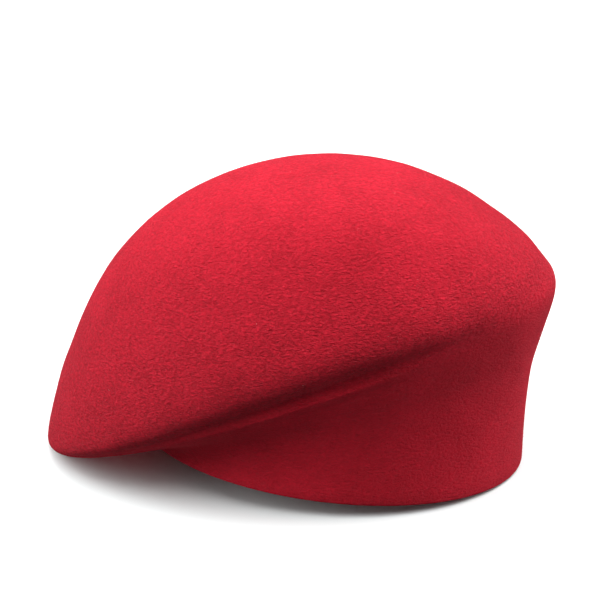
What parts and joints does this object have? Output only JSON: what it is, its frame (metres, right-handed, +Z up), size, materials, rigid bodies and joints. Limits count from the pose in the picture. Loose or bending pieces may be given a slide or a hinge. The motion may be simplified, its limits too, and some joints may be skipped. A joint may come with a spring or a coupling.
{
  "type": "felt beret",
  "caption": "Wool felt beret blocked in one piece, with a domed crown, a slanting fold above the band, a drooping front peak, and a ribbon sweatband with a size adjuster inside.",
  "frame": {"origin": "on the surface the hat rests on, under the middle of its length and width", "axes": "+Z up, -Y forward over the peak, +X to the wearer's left"},
  "size_m": [0.2, 0.2698, 0.1575],
  "materials": {
    "felt": "fulled wool nap",
    "felt_thread": "matte thread",
    "ribbon": "ribbed grosgrain",
    "ribbon_thread": "matte thread",
    "label_weave": "woven satin",
    "label_thread": "fine thread",
    "satin": "satin ribbon",
    "loop_tape": "brushed loop",
    "tape": "plain weave",
    "hook_tape": "fine hooks"
  },
  "bodies": {
    "hat": {"felt_body": "felt", "fold_tacks": "felt_thread", "sweatband": "ribbon", "sweatband_stitches": "ribbon_thread", "woven_label": "label_weave", "label_stitches": "label_thread", "care_label_tack": "satin", "adjuster_loop": "loop_tape", "adjuster_anchor": "tape", "adjuster_stitches": "felt_thread"},
    "care_flap": {"care_label": "satin"},
    "adjuster": {"adjuster_tab": "tape", "adjuster_hook": "hook_tape"}
  },
  "joints": [
    {"name": "care_label_flip", "type": "hinge", "parent": "hat", "child": "care_flap", "pos_m": [-0.06763, 0.05501, 0.03001], "axis": [-0.3071, -0.9475, 0.0885], "range_deg": [-5, 150]},
    {"name": "adjuster_peel", "type": "hinge", "parent": "hat", "child": "adjuster", "pos_m": [0.02019, 0.10951, 0.00755], "axis": [-0.0558, -0.0412, 0.9976], "range_deg": [0, 100]}
  ]
}
